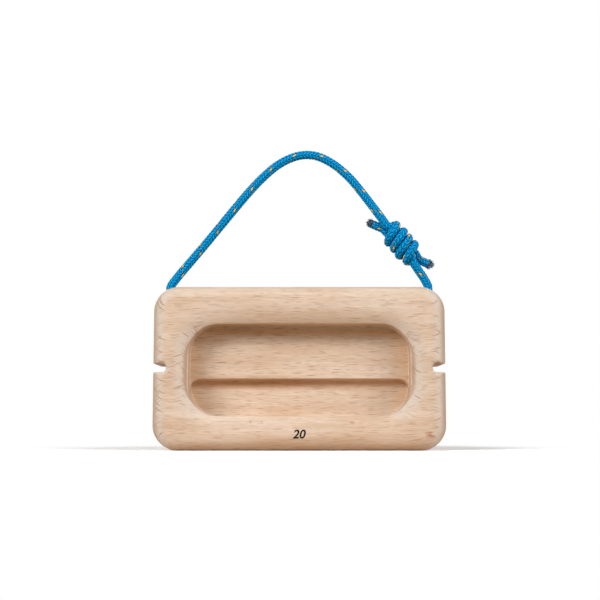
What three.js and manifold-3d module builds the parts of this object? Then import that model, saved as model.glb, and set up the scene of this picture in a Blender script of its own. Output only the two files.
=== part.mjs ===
// A one-hand portable hangboard: a solid beech block with one finger pocket, a slot in each side,
// and one closed loop of braided cord that is tied with a double fisherman's bend.
// Lengths are millimetres. +Z is up, +X is to the right of someone who faces the pocket, and -Y
// points at them. The origin is the middle of the flat bottom that the block stands on.

import * as THREE from "three";
import { mergeVertices } from "three/addons/utils/BufferGeometryUtils.js";
import Module from "manifold-3d";

const wasm = await Module();
wasm.setup();

// Block
const BOARD_WIDE = 150;
const BOARD_HIGH = 84;
const BOARD_THICK = 40;
const BOARD_CORNER = 13;
const FRONT_ROUND = 8;
const BACK_ROUND = 4;

// Finger pocket: a rounded mouth, a shallow upper wall and a deeper recess below a ledge
const RIM_SIDE = 18;
const RIM_TOP = 18;
const RIM_BOTTOM = 18;
const POCKET_CORNER = 14;
const LIP_ROUND = 9;
const UPPER_DEEP = 15;
const LOWER_DEEP = 20;
const LEDGE_UP = 37.1;
const RECESS_CORNER = 5;

// Side slots, through from front to back and open to the side
const SLOT_HIGH = 4.5;
const SLOT_DEEP = 7.2;
const SLOT_UP = 42;
const SLOT_LIP = 0.9;

// Cord
const CORD_ACROSS = 4.3;
const CORD_ROOM = 0.5;
const MEETING_GAP = 0.3;

// Where the two bores are, from the block's side and from its back, and how far from the middle they
// are in the block that the loop's routes are drawn for
const BORE_IN = 5.9;
const BORE_DEEP = 10;
const LOOP_HALF = 69.1;

// A melted tip, and its outline as shares of the cord's radius and of its own length
const TIP_LONG = 2.6;
const TIP_SHARES = [
  [0, 0],
  [1, 0],
  [1.08, 0.25],
  [1.02, 0.7],
  [0.5, 1],
  [0, 1],
];

// Knot: where its middle lies, as the loop's points below, how far apart its cord lies and how thick
// the pulled cord is
const KNOT_PLACE = [55, 0, 26.4];
const KNOT_LAY = 4.05;
const KNOT_CORD = 3.4;
const KNOT_SLOPE_SHARES = [0.64, -0.768];
const LEAST_GAP = 0.4;

// How fine the round stretches are
const CORNER_STEPS = 12;
const ROUND_STEPS = 10;
const CORD_SIDES = 10;
const ARCH_STEPS = 26;
const LEG_STEPS = 5;
const RUN_STEPS = 44;
const WRAP_SIDES = 6;
const WRAP_STEPS = 104;
const OVERRUN = 6;

// The held cord, from the right bore's mouth to where it runs level along the back: distances in from
// the block's side, in from its back and down from its top
const RUN_ROUTE = [
  [BORE_IN, BORE_DEEP, 0],
  [5.9, 9.9, 3.4],
  [6.1, 8.4, 7.1],
  [7.5, 6.0, 10.1],
  [10.6, 3.7, 12.2],
  [15.5, 2.7, 13.0],
  [25.0, 2.7, 13.0],
];

// The loop's points: across from the middle, back from the bores, and up from the block's top.
// The free arch goes from the left bore's mouth to where it enters the knot
const ARCH_ROUTE = [
  [-69.1, 0, 2.45],
  [-65.2, 0, 8.5],
  [-59.0, 0, 16.1],
  [-52.6, 0, 23.8],
  [-46.4, 0, 31.4],
  [-40.2, 0, 39.1],
  [-34.0, 0, 46.8],
  [-27.5, 0, 54.6],
  [-20.3, 0, 62.4],
  [-11.4, 0, 70.0],
  [-2.7, 0, 74.3],
  [4.0, 0, 75.4],
  [10.5, 0, 74.4],
  [18.9, 0, 70.0],
  [27.6, -0.2, 62.3],
  [33.8, -0.6, 54.6],
  [39.6, -1.1, 46.8],
  [42.5, -1.4, 42.8],
  [45.3, -1.7, 38.8],
];

// The free leg, from the right bore's mouth up to where it enters the knot
const LEG_ROUTE = [
  [69.1, 0, 2.45],
  [67.7, -0.2, 5.4],
  [65.8, -0.7, 8.8],
  [64.4, -1.2, 11.4],
  [63.3, -1.6, 13.5],
];

// One end's way through the knot: turns round the knot's axis (from the near side, falling turns run
// from the upper side over the near side), place along the axis, and distance from the axis. The last
// two are shares of KNOT_LAY. The other end takes the same way, turned half round the line of sight.
const WRAP_SHARES = [
  [-0.083, 2.5, 0.58],
  [0.005, 1.8, 0.56],
  [0.077, 1.0, 0.58],
  [0.167, 0, 0.58],
  [0.256, -1.0, 0.58],
  [0.345, -1.8, 0.58],
  [0.385, -2.25, 0.62],
  [0.375, -2.68, 0.86],
  [0.335, -2.86, 1.22],
  [0.27, -2.74, 1.5],
  [0.19, -2.48, 1.6],
  [0.1, -2.2, 1.62],
  [0, -1.88, 1.62],
  [-0.125, -1.56, 1.62],
  [-0.25, -1.28, 1.62],
  [-0.375, -1.22, 1.62],
  [-0.5, -1.34, 1.66],
  [-0.625, -1.28, 1.66],
  [-0.75, -1.04, 1.62],
  [-0.875, -0.86, 1.6],
  [-1, -0.6, 1.6],
  [-1.125, -0.32, 1.6],
  [-1.25, -0.04, 1.58],
  [-1.34, 0.06, 1.42],
  [-1.41, -0.12, 1.14],
  [-1.44, -0.5, 0.84],
  [-1.42, -0.95, 0.64],
  [-1.37, -1.4, 0.58],
  [-1.32, -1.9, 0.58],
  [-1.28, -2.5, 0.6],
];

// The free tail after the last wrap: along the axis, up across it, and towards the viewer, as shares
// of KNOT_LAY
const TAIL_SHARES = [
  [-3.1, -0.86, -0.28],
  [-3.6, -1.18, -0.3],
  [-4.1, -1.5, -0.3],
];

const paint = (color, roughness) =>
  new THREE.MeshStandardMaterial({ color, roughness, metalness: 0 });
const BEECH = paint("#dec8b2", 0.62);
const CORD = paint("#0a86c8", 0.75);
const MELTED = paint("#14303c", 0.4);

// Solids from meshes and back

function solidFrom(geometry) {
  const bare = geometry.index ? geometry.toNonIndexed() : geometry.clone();
  bare.deleteAttribute("normal");
  bare.deleteAttribute("uv");
  const merged = mergeVertices(bare, 1e-4);
  return new wasm.Manifold(
    new wasm.Mesh({
      numProp: 3,
      vertProperties: new Float32Array(merged.attributes.position.array),
      triVerts: new Uint32Array(merged.index.array),
    }),
  );
}

function geometryFrom(solid) {
  const mesh = solid.getMesh();
  const geometry = new THREE.BufferGeometry();
  geometry.setAttribute(
    "position",
    new THREE.BufferAttribute(new Float32Array(mesh.vertProperties), 3),
  );
  geometry.setIndex(new THREE.BufferAttribute(new Uint32Array(mesh.triVerts), 1));
  return geometry;
}

// A closed solid through a stack of outlines that all have as many points, from front to back
function stackOf(layers) {
  const count = layers[0].outline.length;
  const places = [];
  const faces = [];
  for (const { y, outline } of layers) {
    for (const [x, z] of outline) places.push(x, y, z);
  }
  const middleOf = ({ y, outline }) => {
    const sum = outline.reduce((s, [x, z]) => [s[0] + x, s[1] + z], [0, 0]);
    places.push(sum[0] / count, y, sum[1] / count);
    return places.length / 3 - 1;
  };
  const front = middleOf(layers[0]);
  const back = middleOf(layers[layers.length - 1]);
  const last = (layers.length - 1) * count;
  for (let i = 0; i < count; i++) {
    const next = (i + 1) % count;
    faces.push(front, i, next);
    faces.push(back, last + next, last + i);
    for (let k = 0; k < layers.length - 1; k++) {
      const a = k * count;
      const b = a + count;
      faces.push(a + i, b + i, a + next);
      faces.push(b + i, b + next, a + next);
    }
  }
  const geometry = new THREE.BufferGeometry();
  geometry.setAttribute("position", new THREE.Float32BufferAttribute(places, 3));
  geometry.setIndex(faces);
  return geometry;
}

// An upright rectangle with round corners, anticlockwise as seen from the front, grown on every side
function roundedOutline({ left, right, low, high, lowRadius, highRadius }, grow) {
  const corners = [
    [right - lowRadius, low + lowRadius, lowRadius + grow, -1],
    [right - highRadius, high - highRadius, highRadius + grow, 0],
    [left + highRadius, high - highRadius, highRadius + grow, 1],
    [left + lowRadius, low + lowRadius, lowRadius + grow, 2],
  ];
  return corners.flatMap(([x, z, radius, quarter]) =>
    Array.from({ length: CORNER_STEPS + 1 }, (_, i) => {
      const turn = (quarter + i / CORNER_STEPS) * (Math.PI / 2);
      return [x + radius * Math.cos(turn), z + radius * Math.sin(turn)];
    }),
  );
}

// A quarter round as pairs of depth and side step, from the flat face to the wall
function quarterRound(radius) {
  return Array.from({ length: ROUND_STEPS + 1 }, (_, i) => {
    const turn = (i / ROUND_STEPS) * (Math.PI / 2);
    return { deep: radius * (1 - Math.cos(turn)), side: radius * (1 - Math.sin(turn)) };
  });
}

const FRONT = -BOARD_THICK / 2;
const BACK = BOARD_THICK / 2;

function blockSolid() {
  const outline = {
    left: -BOARD_WIDE / 2,
    right: BOARD_WIDE / 2,
    low: 0,
    high: BOARD_HIGH,
    lowRadius: BOARD_CORNER,
    highRadius: BOARD_CORNER,
  };
  const layer = (y, grow) => ({ y, outline: roundedOutline(outline, grow) });
  const front = quarterRound(FRONT_ROUND).map(({ deep, side }) => layer(FRONT + deep, -side));
  const back = quarterRound(BACK_ROUND).map(({ deep, side }) => layer(BACK - deep, -side));
  return solidFrom(stackOf([...front, ...back.reverse()]));
}

const POCKET = {
  left: -BOARD_WIDE / 2 + RIM_SIDE,
  right: BOARD_WIDE / 2 - RIM_SIDE,
  low: RIM_BOTTOM,
  high: BOARD_HIGH - RIM_TOP,
  lowRadius: POCKET_CORNER,
  highRadius: POCKET_CORNER,
};

function pocketCut() {
  const layer = (y, grow) => ({ y, outline: roundedOutline(POCKET, grow) });
  const lip = quarterRound(LIP_ROUND).map(({ deep, side }) => layer(FRONT + deep, side));
  return solidFrom(
    stackOf([layer(FRONT - OVERRUN, LIP_ROUND), ...lip, layer(FRONT + UPPER_DEEP, 0)]),
  );
}

function recessCut() {
  const outline = { ...POCKET, high: LEDGE_UP, highRadius: RECESS_CORNER };
  const layer = (y) => ({ y, outline: roundedOutline(outline, 0) });
  const start = FRONT + (LIP_ROUND + UPPER_DEEP) / 2;
  return solidFrom(stackOf([layer(start), layer(FRONT + LOWER_DEEP)]));
}

// One side slot, with a mouth that widens a little where it meets the side
function slotCut(side) {
  const half = SLOT_HIGH / 2;
  const mouth = BOARD_WIDE / 2;
  const shape = new THREE.Shape();
  const round = Array.from({ length: CORNER_STEPS + 1 }, (_, i) => {
    const turn = Math.PI / 2 + (i / CORNER_STEPS) * Math.PI;
    return [mouth - SLOT_DEEP + half + half * Math.cos(turn), half * Math.sin(turn)];
  });
  const points = [
    [mouth + OVERRUN, half + SLOT_LIP],
    [mouth, half + SLOT_LIP],
    [mouth - SLOT_LIP / 3, half + SLOT_LIP / 3],
    [mouth - SLOT_LIP, half],
    ...round,
    [mouth - SLOT_LIP, -half],
    [mouth - SLOT_LIP / 3, -half - SLOT_LIP / 3],
    [mouth, -half - SLOT_LIP],
    [mouth + OVERRUN, -half - SLOT_LIP],
  ];
  shape.setFromPoints(points.map(([x, z]) => new THREE.Vector2(side * x, SLOT_UP + z)));
  const long = BOARD_THICK + 2 * OVERRUN;
  const cut = new THREE.ExtrudeGeometry(shape, { depth: long, bevelEnabled: false });
  cut.rotateX(Math.PI / 2);
  cut.translate(0, long / 2, 0);
  return solidFrom(cut);
}

// Cord

function roundSection(across, sides) {
  return new THREE.Shape(
    Array.from({ length: sides }, (_, i) => {
      const turn = (i / sides) * 2 * Math.PI;
      return new THREE.Vector2((across / 2) * Math.cos(turn), (across / 2) * Math.sin(turn));
    }),
  );
}

function tubeAlong(points, across, sides, steps) {
  const path = new THREE.CatmullRomCurve3(points, false, "centripetal");
  return new THREE.ExtrudeGeometry(roundSection(across, sides), {
    steps,
    extrudePath: path,
    bevelEnabled: false,
  });
}

const runRight = RUN_ROUTE.map(
  ([side, back, down]) => new THREE.Vector3(BOARD_WIDE / 2 - side, BACK - back, BOARD_HIGH - down),
);
const runLeft = runRight.map(({ x, y, z }) => new THREE.Vector3(-x, y, z));
const RUN_POINTS = [...runRight, ...runLeft.reverse()];

// A point of the loop. Its place across goes with the bores
function loopPoint([across, back, up]) {
  const stretch = (BOARD_WIDE / 2 - BORE_IN) / LOOP_HALF;
  return new THREE.Vector3(across * stretch, BACK - BORE_DEEP + back, BOARD_HIGH + up);
}

// The way for the held cord: a round way along its route that opens to the back where it runs level
function cordWayCut() {
  const wayWide = CORD_ACROSS + 2 * CORD_ROOM;
  const above = new THREE.Vector3(0, 0, OVERRUN);
  const ends = [RUN_POINTS[0].clone().add(above), RUN_POINTS.at(-1).clone().add(above)];
  const way = solidFrom(
    tubeAlong([ends[0], ...RUN_POINTS, ends[1]], wayWide, CORD_SIDES, RUN_STEPS),
  );
  const level = RUN_POINTS.filter((p) => p.y > BACK - CORD_ACROSS);
  return way.add(channelCut(level, wayWide));
}

// The channel in the back, as wide as the way, over the level stretch of its line
function channelCut(line, wide) {
  const sides = [1, -1].map((side) =>
    line.map((p, i) => {
      const before = line[Math.max(i - 1, 0)];
      const after = line[Math.min(i + 1, line.length - 1)];
      const along = new THREE.Vector2(after.x - before.x, after.z - before.z).normalize();
      const out = (side * wide) / 2;
      return new THREE.Vector2(p.x - out * along.y, p.z + out * along.x);
    }),
  );
  const shape = new THREE.Shape([...sides[0], ...sides[1].reverse()]);
  const deep = BACK - line.at(-1).y + CORD_ROOM + OVERRUN;
  const cut = new THREE.ExtrudeGeometry(shape, { depth: deep, bevelEnabled: false });
  cut.rotateX(Math.PI / 2);
  cut.translate(0, BACK + OVERRUN, 0);
  return solidFrom(cut);
}

function boardGeometry() {
  const whole = blockSolid().subtract(pocketCut()).subtract(recessCut());
  const slotted = whole.subtract(slotCut(1)).subtract(slotCut(-1));
  return geometryFrom(slotted.subtract(cordWayCut()));
}

// A free stretch of cord starts as a ball on the joint's line, so that it clears the held cord
function freeCord(route, steps) {
  const points = route.map(loopPoint);
  const ball = new THREE.SphereGeometry(CORD_ACROSS / 2, CORD_SIDES, CORD_SIDES / 2);
  ball.translate(points[0].x, points[0].y, points[0].z);
  const tube = tubeAlong(points, CORD_ACROSS, CORD_SIDES, steps);
  return geometryFrom(solidFrom(tube).add(solidFrom(ball)));
}

// Knot: along is the axis from the arch's side down to the leg's side, across is up and to the right

const along = new THREE.Vector3(KNOT_SLOPE_SHARES[0], 0, KNOT_SLOPE_SHARES[1]).normalize();
const across = new THREE.Vector3(-along.z, 0, along.x);
const near = new THREE.Vector3(0, -1, 0);
const middle = loopPoint(KNOT_PLACE);

// half is 1 for the end that wraps at the upper left, and -1 for the end that wraps at the lower right
function knotPoint([u, t, n], half) {
  return middle
    .clone()
    .addScaledVector(along, half * u * KNOT_LAY)
    .addScaledVector(across, half * t * KNOT_LAY)
    .addScaledVector(near, n * KNOT_LAY);
}

function wrapPoints(half) {
  return WRAP_SHARES.map(([turns, u, radius]) => {
    const turn = turns * 2 * Math.PI;
    return knotPoint([u, radius * Math.sin(turn), radius * Math.cos(turn)], half);
  });
}

// The free stretch's last two points give the joint face and its direction
function entryPoints(route) {
  const [before, last] = route.slice(-2).map(loopPoint);
  const way = last.clone().sub(before).normalize();
  return [
    last.clone().addScaledVector(way, MEETING_GAP),
    last.clone().addScaledVector(way, MEETING_GAP + KNOT_CORD),
  ];
}

function knotRoute(route, half) {
  const tail = TAIL_SHARES.map((place) => knotPoint(place, half));
  return [...entryPoints(route), ...wrapPoints(half), ...tail];
}

function wrapTube(points) {
  return tubeAlong(points, KNOT_CORD, WRAP_SIDES, WRAP_STEPS);
}

// The least distance between two stretches of cord, less their own thickness
function leastGap(first, second) {
  const spaced = (points) =>
    new THREE.CatmullRomCurve3(points, false, "centripetal").getSpacedPoints(6 * WRAP_STEPS);
  const a = spaced(first);
  const b = spaced(second);
  const step = a[0].distanceTo(a[1]);
  const skip = first === second ? Math.ceil((2 * KNOT_CORD) / step) : -1;
  let least = Infinity;
  a.forEach((p, i) =>
    b.forEach((q, k) => {
      if (Math.abs(i - k) > skip) least = Math.min(least, p.distanceTo(q));
    }),
  );
  return least - KNOT_CORD;
}

const upperRoute = knotRoute(LEG_ROUTE, 1);
const lowerRoute = knotRoute(ARCH_ROUTE, -1);
const gaps = {
  "upper half to itself": leastGap(upperRoute, upperRoute),
  "lower half to itself": leastGap(lowerRoute, lowerRoute),
  "one half to the other": leastGap(upperRoute, lowerRoute),
};
for (const [name, gap] of Object.entries(gaps)) {
  console.log(`${name}: least gap ${gap.toFixed(2)} mm, wanted over ${LEAST_GAP} mm`);
}

// A melted tip goes on straight from the end of its tail
function sealedTip(route) {
  const [before, last] = route.slice(-2);
  const way = last.clone().sub(before).normalize();
  const profile = TIP_SHARES.map(
    ([wide, long]) => new THREE.Vector2((wide * KNOT_CORD) / 2, long * TIP_LONG),
  );
  const tip = new THREE.LatheGeometry(profile, CORD_SIDES);
  tip.applyQuaternion(
    new THREE.Quaternion().setFromUnitVectors(new THREE.Vector3(0, 1, 0), way),
  );
  const start = last.clone().addScaledVector(way, MEETING_GAP);
  return tip.translate(start.x, start.y, start.z);
}

const hangboard = new THREE.Group();

function addPiece(name, geometry, material) {
  const piece = new THREE.Mesh(geometry, material);
  piece.name = name;
  hangboard.add(piece);
}

addPiece("board", boardGeometry(), BEECH);
addPiece("cord_run", tubeAlong(RUN_POINTS, CORD_ACROSS, CORD_SIDES, RUN_STEPS), CORD);
addPiece("cord_arch", freeCord(ARCH_ROUTE, ARCH_STEPS), CORD);
addPiece("cord_leg", freeCord(LEG_ROUTE, LEG_STEPS), CORD);
addPiece("knot_upper_half", wrapTube(upperRoute), CORD);
addPiece("knot_lower_half", wrapTube(lowerRoute), CORD);
addPiece("sealed_tip_upper", sealedTip(upperRoute), MELTED);
addPiece("sealed_tip_lower", sealedTip(lowerRoute), MELTED);

export default hangboard;
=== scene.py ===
"""A one-hand portable hangboard of solid beech with a closed loop of braided accessory cord.

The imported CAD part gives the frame: the block's body and the cord loop's body, which swings on the
block's two top corners. This script dresses it: a sanded beech block with softened edges, a braided
sheath on every stretch of cord, a tightened knot, melted tips and a burnt-in number.
Lengths in the lists below are millimetres, and they turn to metres where a mesh is made.
"""

import math

import bmesh
import bpy
import numpy as np
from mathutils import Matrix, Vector, noise


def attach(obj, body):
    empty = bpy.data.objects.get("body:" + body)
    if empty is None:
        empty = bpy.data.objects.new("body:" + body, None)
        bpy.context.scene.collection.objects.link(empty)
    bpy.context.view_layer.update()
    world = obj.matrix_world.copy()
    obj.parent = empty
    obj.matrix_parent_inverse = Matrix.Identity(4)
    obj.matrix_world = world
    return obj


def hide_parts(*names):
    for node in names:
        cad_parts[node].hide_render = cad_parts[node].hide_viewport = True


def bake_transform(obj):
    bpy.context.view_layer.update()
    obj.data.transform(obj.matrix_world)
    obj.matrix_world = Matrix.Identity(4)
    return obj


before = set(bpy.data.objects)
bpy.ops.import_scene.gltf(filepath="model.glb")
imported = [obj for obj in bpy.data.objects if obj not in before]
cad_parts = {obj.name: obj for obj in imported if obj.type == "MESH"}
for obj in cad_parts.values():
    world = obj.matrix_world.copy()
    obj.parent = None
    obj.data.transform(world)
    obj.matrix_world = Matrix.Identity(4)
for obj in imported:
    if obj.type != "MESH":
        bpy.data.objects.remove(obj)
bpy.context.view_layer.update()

MM = 0.001
# Stands for 0 where something is divided by it
TINY = 1e-6

# The kinds of node that the trees below use most
MATH = "ShaderNodeMath"
VECTOR = "ShaderNodeVectorMath"
RANGE = "ShaderNodeMapRange"
MIX = "ShaderNodeMix"
RAMP = "ShaderNodeValToRGB"
NOISE = "ShaderNodeTexNoise"
ATTRIBUTE = "ShaderNodeAttribute"
STORE = "GeometryNodeStoreNamedAttribute"
READ = "GeometryNodeInputNamedAttribute"
# What many of them are set to
TIMES = {"operation": "MULTIPLY"}
TIMES_PLUS = {"operation": "MULTIPLY_ADD"}
PLUS = {"operation": "ADD"}
LESS = {"operation": "SUBTRACT"}
SCALE = {"operation": "SCALE"}
SMOOTH = {"interpolation_type": "SMOOTHSTEP"}
TINT = {"data_type": "RGBA", "out": 2}

# Block: the part's sizes, but with the mouth, corners and ledge of the finished pocket
BOARD_WIDE = 150
BOARD_HIGH = 84
BOARD_THICK = 40
BOARD_CORNER = 13
BACK_ROUND = 4
RIM_TOP = 19.4
RIM_SIDE = 18
RIM_BOTTOM = 17.4
POCKET_CORNER = 15.5
UPPER_DEEP = 15
LOWER_DEEP = 20
LEDGE_UP = 36.8
RECESS_CORNER = 5.5
SLOT_HIGH = 4.5
SLOT_DEEP = 7.2
SLOT_UP = 42
HALF_THICK = BOARD_THICK / 2
POCKET_HALF = BOARD_WIDE / 2 - RIM_SIDE
POCKET_TOP = BOARD_HIGH - RIM_TOP

# What only the finished block shows: how far its cut edges are sanded, and what the cutter leaves.
# The front's round turns nearly a quarter. The pocket's lip is a shallow arc, which ends in an edge
# long before, and that edge is sanded rounder by the pocket's ends
ARC = 7.5
ARC_OVER = 0.1
ARC_EDGE = 0.4
LIP_ARC = 16.5
LIP_OVER = 6.6
LIP_EDGE = 0.4
LIP_END_EDGE = 3.2
# It starts and is full this far inside the ends, and fades this far above and below their middle
LIP_END_STARTS = (1, 6)
LIP_END_FADES = (6, 17)
# The recess under the ledge goes this far past the pocket's ends, so that it ends in no seam there
RECESS_PAST = 0.1
RECESS_LOW_CORNER = 1
SLOT_END_SOFT = 1.9
SLOT_MOUTH_SOFT = 0.4
# How far from the block's side the slot's edges are as sharp as at its mouth
SLOT_MOUTH_DEEP = 1.2
WAY_SOFT = 0.6
LEDGE_SOFT = 0.2
CUTTER_CORNER = 0.45

# Cord
CORD_ACROSS = 4.3
# Over what length the cord's own stiffness eases its bends, as the spread of a bell curve
BEND_EASE = 0.9
# The cord's way through the block: its radius, the point above the block that it is cut from, the
# y and z that it stays behind and above, and the step of its line
WAY_ROUND = 2.65
WAY_FROM = (69.1, 10.0, 92.0)
WAY_BEHIND = 3
WAY_ABOVE = 64
WAY_STEP = 1.0
# Where a free stretch enters the knot, two points keep it straight: one this far past its end, and
# one this much further
ENTRY_GAP = 0.3
ENTRY_LONG = 3.4
# How wide the knot is laid, where its middle is, and which way its axis runs
KNOT_LAY = 3.85
KNOT_MIDDLE = (55.1, 10, 110.7)
KNOT_SLOPE = (0.64, 0, -0.768)

# The held cord from the right bore's mouth to where it runs level along the back
HELD_ROUTE = [
    (69.1, 10.0, 84.0), (69.1, 10.1, 80.6), (68.9, 11.6, 76.9), (67.5, 14.0, 73.9),
    (64.4, 16.3, 71.8), (59.5, 17.3, 71.0), (50.0, 17.3, 71.0),
]
# How many of those points the loop's two halves also follow, inside the bores
BORE_POINTS = 3

# The free arch, from the left bore's mouth to the knot
ARCH_ROUTE = [
    (-69.4, 10.0, 86.45), (-65.3, 10.0, 92.5), (-59.0, 10.0, 100.1), (-52.6, 10.0, 107.8),
    (-46.4, 10.0, 115.4), (-40.2, 10.0, 123.1), (-34.0, 10.0, 130.8), (-27.5, 10.0, 138.6),
    (-20.3, 10.0, 146.4), (-11.4, 10.0, 154.0), (-2.7, 10.0, 158.3), (4.0, 10.0, 159.4),
    (10.5, 10.0, 158.4), (18.9, 10.0, 154.0), (27.6, 9.8, 146.3), (33.8, 9.4, 138.6),
    (39.6, 8.9, 130.8), (42.5, 8.6, 126.8), (45.3, 8.3, 122.8),
]

# The free leg, from the right bore's mouth up to the knot
LEG_ROUTE = [
    (69.5, 10.0, 86.45), (68.3, 9.8, 89.4), (66.2, 9.3, 92.8), (64.3, 8.8, 95.4), (62.9, 8.4, 97.5),
]

# One end's way through the knot: turns round the knot's axis, place along it, and distance from it,
# the last two as shares of KNOT_LAY. The other end takes it turned half round the line of sight
WRAP_SHARES = [
    (-0.083, 2.5, 0.58), (0.005, 1.8, 0.56), (0.077, 1, 0.58), (0.167, 0, 0.58), (0.256, -1, 0.58),
    (0.345, -1.8, 0.58), (0.385, -2.2, 0.6), (0.38, -2.52, 0.74), (0.34, -2.62, 0.9),
    (0.27, -2.5, 1.04), (0.19, -2.37, 1.15), (0.1, -2.14, 1.26), (0, -1.88, 1.33),
    (-0.125, -1.56, 1.33), (-0.25, -1.28, 1.33), (-0.375, -1.22, 1.33), (-0.5, -1.34, 1.36),
    (-0.625, -1.28, 1.36), (-0.75, -1.04, 1.33), (-0.875, -0.86, 1.32), (-1, -0.6, 1.32),
    (-1.125, -0.32, 1.32), (-1.25, -0.04, 1.3), (-1.34, 0.06, 1.19), (-1.41, -0.12, 1.06),
    (-1.44, -0.5, 0.84), (-1.42, -0.95, 0.64), (-1.37, -1.4, 0.58), (-1.32, -1.9, 0.58),
    (-1.28, -2.5, 0.6),
]
# The tails' way out of the knot, in the same shares: the left half's tail, then the right half's
TAIL_SHARES = {
    -1: [(-3.2, -0.4, -0.28), (-3.85, -0.66, -0.3), (-4.6, -1.0, -0.3)],
    1: [(-3.2, -0.59, -0.28), (-3.9, -0.95, -0.3), (-4.7, -1.33, -0.3)],
}

# Sheath: sixteen yarns, eight each way, that pass over two and under two
LAY_LONG = 14.96
YARNS_EACH_WAY = 8
YARN_ROUND = 0.36
YARN_RISE = 0.1
SHEATH_OUTER = 2.38
SHEATH_SIDES = 64
RING_STEP = 0.22
# Where the braid starts, in lay lengths, and how far it is turned round the left half's cord as
# (mm along, turns), and round the others
LAY_STARTS = {"left": 0.283, "right": 0.575, "held": 0.2}
LEFT_TURNED = [(0, 0.05), (100, 0.235), (166, 0.32)]
OTHERS_TURNED = 0.06


def linear(code):
    """An sRGB hex colour as the linear colour that a shader wants."""
    parts = [int(code[i : i + 2], 16) / 255 for i in (1, 3, 5)]
    curve = [p / 12.92 if p <= 0.04045 else ((p + 0.055) / 1.055) ** 2.4 for p in parts]
    return (*curve, 1)


def add(tree, kind, inputs=(), out=0, stops=(), **settings):
    """Adds a node, sets it and links it, and gives its output called out, or all of it for None.
    Inputs go by number where names repeat: a mix takes its share at 0, numbers at 2 and 3, colours
    at 6 and 7, and gives a colour at 2. A range turns what lies from 1 to 2 into 3 to 4."""
    node = tree.nodes.new(kind)
    for name, value in settings.items():
        setattr(node, name, value)
    for key, value in dict(inputs).items():
        if isinstance(value, bpy.types.NodeSocket):
            tree.links.new(value, node.inputs[key])
        else:
            node.inputs[key].default_value = value
    for i, (place, code) in enumerate(stops):
        elements = node.color_ramp.elements
        element = elements[i] if i < 2 else elements.new(place)
        element.position = place
        element.color = linear(code)
    return node if out is None else node.outputs[out]


def write_marks(mesh, marks):
    """Gives a mesh's points a number under each name in marks."""
    for label, row in marks.items():
        mark = mesh.attributes.new(label, "FLOAT", "POINT")
        mark.data.foreach_set("value", np.asarray(row, np.float32))


def put_in_scene(name, data, material=None):
    """Puts a finished mesh in the scene as a piece at the origin, or a lamp or the camera."""
    piece = bpy.data.objects.new(name, data)
    bpy.context.scene.collection.objects.link(piece)
    if material:
        data.materials.clear()
        data.materials.append(material)
    return piece


def empty_tree(owner):
    """The node tree of a material or a world, with nothing in it."""
    owner.use_nodes = True
    owner.node_tree.nodes.clear()
    return owner.node_tree


# Camera: level with the pocket's floor and tipped up a little, as the photograph was taken. Its
# place and lens are in mm, its tip is in radians, its shift aside is a share of the picture, and
# the nearest that it sees is in metres
CAMERA_PLACE = (0, -580, 14.1)
CAMERA_TIP = 0.1108
CAMERA_ASIDE = 0.0011
LENS = 66.2
SENSOR = 36
NEAREST_SEEN = 0.01
camera_data = bpy.data.cameras.new("camera")
camera_data.lens = LENS
camera_data.sensor_width = SENSOR
camera_data.shift_x = CAMERA_ASIDE
camera_data.clip_start = NEAREST_SEEN
camera = put_in_scene("camera", camera_data)
camera.location = Vector(CAMERA_PLACE) * MM
camera.rotation_euler = (math.pi / 2 + CAMERA_TIP, 0, 0)
bpy.context.scene.camera = camera


# Lines that the cord follows

# How many points stand for the curve between two given ones
SPAN_POINTS = 60


def way_gone(line):
    """How far along a line each of its points is."""
    return np.concatenate([[0], np.cumsum(np.linalg.norm(np.diff(line, axis=0), axis=1))])


def smooth_line(points, step):
    """A centripetal curve through the points, as points a step apart, its bends eased by a running
    mean. Past its ends the line goes on turned about them, so that they stay in place."""
    p = np.array(points, float)
    p = np.vstack([2 * p[0] - p[1], p, 2 * p[-1] - p[-2]])
    t = np.linspace(0, 1, SPAN_POINTS, endpoint=False)[:, None]
    found = []
    for a, b, c, d in zip(p, p[1:], p[2:], p[3:]):
        t0, t1, t2 = (np.linalg.norm(v - u) ** 0.5 for u, v in ((a, b), (b, c), (c, d)))
        m1 = ((b - a) / t0 - (c - a) / (t0 + t1) + (c - b) / t1) * t1
        m2 = ((c - b) / t1 - (d - b) / (t1 + t2) + (d - c) / t2) * t1
        found.append(
            b + m1 * t + (-3 * b + 3 * c - 2 * m1 - m2) * t**2 + (2 * b - 2 * c + m1 + m2) * t**3
        )
    line = np.vstack([*found, p[-2]])
    gone = way_gone(line)
    places = np.linspace(0, gone[-1], max(2, round(gone[-1] / step)) + 1)
    line = np.stack([np.interp(places, gone, line[:, i]) for i in range(3)], 1)
    reach = max(1, round(3 * BEND_EASE / step))
    weights = np.exp(-0.5 * (np.arange(-reach, reach + 1) * step / BEND_EASE) ** 2)
    ahead = 2 * line[0] - line[reach:0:-1]
    behind = 2 * line[-1] - line[-2 : -2 - reach : -1]
    whole = np.vstack([ahead, line, behind])
    eased = [np.convolve(whole[:, i], weights / weights.sum(), "valid") for i in range(3)]
    return np.stack(eased, 1)


def knot_point(share, half):
    """A point of the knot from its shares along the axis, across it and towards the viewer."""
    along = np.array(KNOT_SLOPE) / np.linalg.norm(KNOT_SLOPE)
    across = np.array((-along[2], 0, along[0]))
    near = np.array((0, -1, 0))
    u, t, n = share
    return np.array(KNOT_MIDDLE) + KNOT_LAY * (half * u * along + half * t * across + n * near)


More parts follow.
